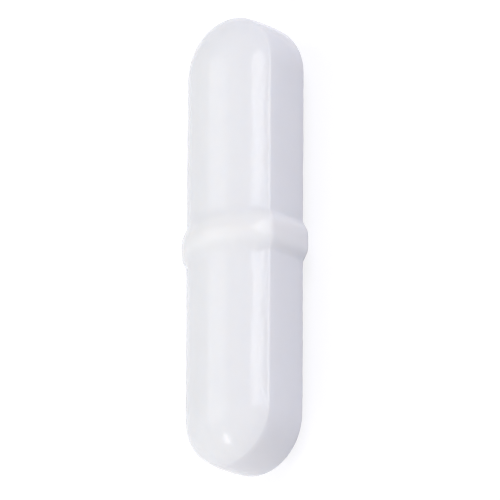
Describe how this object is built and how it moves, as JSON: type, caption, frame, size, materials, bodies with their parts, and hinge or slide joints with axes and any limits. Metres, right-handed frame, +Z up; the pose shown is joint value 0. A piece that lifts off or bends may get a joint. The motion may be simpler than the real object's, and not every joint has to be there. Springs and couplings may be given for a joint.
{
  "type": "magnetic stir bar",
  "caption": "Slim bar that a magnetic stirrer spins in a vessel: a white moulded jacket with crowned faces, flat side walls, round ends and a pivot ring, sealed round a rod magnet.",
  "frame": {"origin": "under the middle of the bar, on the surface that its pivot ring rests on", "axes": "+X along the bar, +Y square to its flat side walls, +Z up through a crowned face"},
  "size_m": [0.035, 0.0088, 0.0082],
  "materials": {
    "ptfe": "moulded and sintered, semi-gloss, faintly translucent white",
    "alnico": "cast and ground, dull grey"
  },
  "bodies": {
    "root": {"jacket": "ptfe", "magnet": "alnico"}
  },
  "joints": []
}
